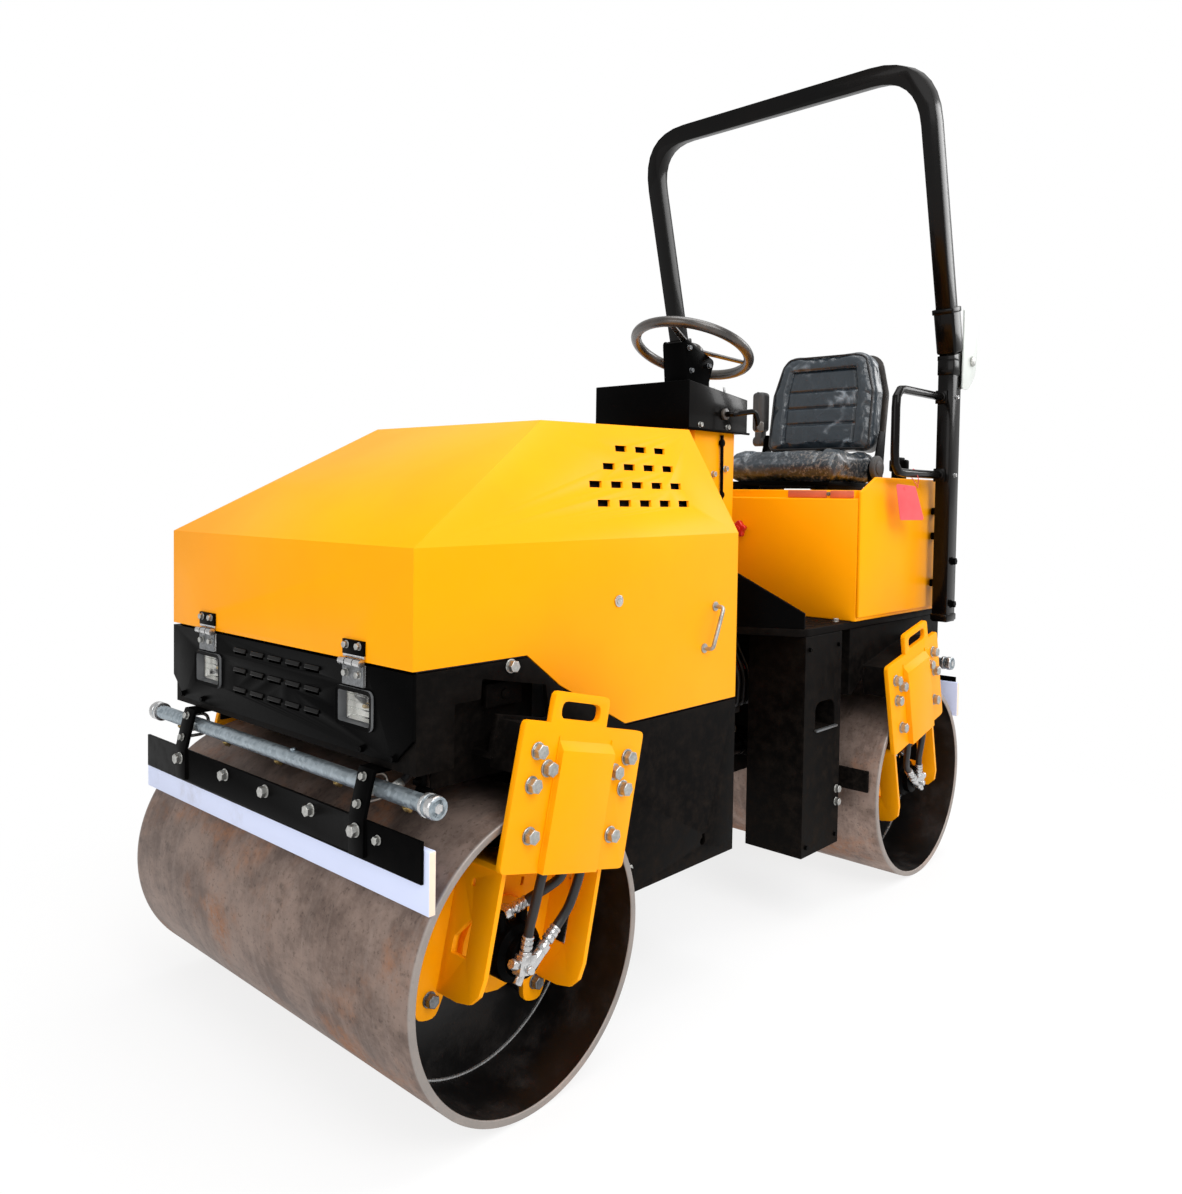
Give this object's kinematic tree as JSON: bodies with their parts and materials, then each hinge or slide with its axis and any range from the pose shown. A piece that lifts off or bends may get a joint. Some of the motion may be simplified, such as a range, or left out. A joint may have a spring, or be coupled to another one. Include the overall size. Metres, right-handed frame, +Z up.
{
  "type": "ride-on tandem road roller",
  "caption": "Ride-on tandem road roller with smooth steel drums, centre-pivot steering, tilting engine hood and a folding roll-over hoop.",
  "frame": {"origin": "on the ground under the centre pivot, midway between the drums; the middle of the box's base", "axes": "+X forward, +Y the machine's left, +Z up"},
  "size_m": [2.1588, 1.064, 2.3857],
  "materials": {
    "yellow_paint": "glossy paint",
    "black_paint": "semi-gloss paint with dust",
    "drum_steel": "rolled plate, scuffed and lightly rusted",
    "motor_casting": "as cast, oiled",
    "zinc_pipe": "galvanised",
    "scraper_nylon": "sawn sheet",
    "lamp_lens": "clear lens over a reflector",
    "seat_vinyl": "grained vinyl under thin clear film",
    "grey_plastic": "moulded, slightly worn",
    "rim_plastic": "moulded grip, polished by hands"
  },
  "bodies": {
    "rear_module": {"rear_frame": "black_paint", "side_box_left": "black_paint", "side_box_right": "black_paint", "floor_plate": "black_paint", "toe_board": "black_paint", "seat_box": "yellow_paint", "side_panel_left": "yellow_paint", "side_panel_right": "yellow_paint", "pedestal": "yellow_paint", "dash_box": "black_paint", "steering_column": "black_paint", "drive_lever": "black_paint", "seat_base": "black_paint", "seat_cushion": "seat_vinyl", "seat_backrest": "seat_vinyl", "rops_post_left": "black_paint", "rops_post_right": "black_paint", "grab_rail_left": "black_paint", "grab_rail_right": "black_paint", "rear_bracket_left": "yellow_paint", "rear_bracket_right": "yellow_paint", "rear_motor_left": "motor_casting", "rear_motor_right": "motor_casting", "rear_scraper_bar": "black_paint", "rear_scraper_blade": "scraper_nylon", "rear_spray_pipe": "zinc_pipe"},
    "front_module": {"front_frame": "black_paint", "nose_panel": "black_paint", "steering_lug": "black_paint", "headlight_left": "lamp_lens", "headlight_right": "lamp_lens", "engine_block": "motor_casting", "front_bracket_left": "yellow_paint", "front_bracket_right": "yellow_paint", "front_motor_left": "motor_casting", "front_motor_right": "motor_casting", "front_scraper_bar": "black_paint", "front_scraper_blade": "scraper_nylon", "front_spray_pipe": "zinc_pipe"},
    "hood": {"hood": "yellow_paint"},
    "front_drum": {"front_drum": "drum_steel"},
    "rear_drum": {"rear_drum": "drum_steel"},
    "steering_barrel": {"steering_cylinder_barrel": "black_paint"},
    "steering_rod": {"steering_cylinder_rod": "zinc_pipe"},
    "steering_wheel": {"steering_wheel": "rim_plastic"},
    "rops_hoop": {"rops_hoop": "black_paint"},
    "armrest": {"armrest": "grey_plastic"}
  },
  "joints": [
    {"name": "articulation", "type": "hinge", "parent": "rear_module", "child": "front_module", "pos_m": [0, 0, 0.405], "axis": [0, 0, 1], "range_deg": [-30, 30]},
    {"name": "front_drum_spin", "type": "hinge", "parent": "front_module", "child": "front_drum", "pos_m": [0.8, 0, 0.2794], "axis": [0, 1, 0], "continuous": true},
    {"name": "rear_drum_spin", "type": "hinge", "parent": "rear_module", "child": "rear_drum", "pos_m": [-0.8, 0, 0.2794], "axis": [0, 1, 0], "continuous": true},
    {"name": "hood_tilt", "type": "hinge", "parent": "front_module", "child": "hood", "pos_m": [1.035, 0, 0.814], "axis": [0, 1, 0], "range_deg": [0, 55]},
    {"name": "cylinder_swing", "type": "hinge", "parent": "rear_module", "child": "steering_barrel", "pos_m": [-0.4, 0.152, 0.405], "axis": [0, 0, 1], "range_deg": [-4, 4]},
    {"name": "cylinder_stroke", "type": "slide", "parent": "steering_barrel", "child": "steering_rod", "axis": [1, 0, 0], "range_m": [-0.085, 0.085]},
    {"name": "steering", "type": "hinge", "parent": "rear_module", "child": "steering_wheel", "pos_m": [-0.3, 0, 1.54], "axis": [-0.342, 0, 0.9397], "continuous": true},
    {"name": "hoop_fold", "type": "hinge", "parent": "rear_module", "child": "rops_hoop", "pos_m": [-1.012, 0, 1.54], "axis": [0, -1, 0], "range_deg": [0, 135]},
    {"name": "armrest_fold", "type": "hinge", "parent": "rear_module", "child": "armrest", "pos_m": [-0.92, -0.16, 1.31], "axis": [0, 1, 0], "range_deg": [0, 88]}
  ],
  "couplings": [
    {"joint": "cylinder_swing", "follows": "articulation", "ratio": 0.102},
    {"joint": "cylinder_stroke", "follows": "articulation", "m_per_rad": -0.149}
  ]
}
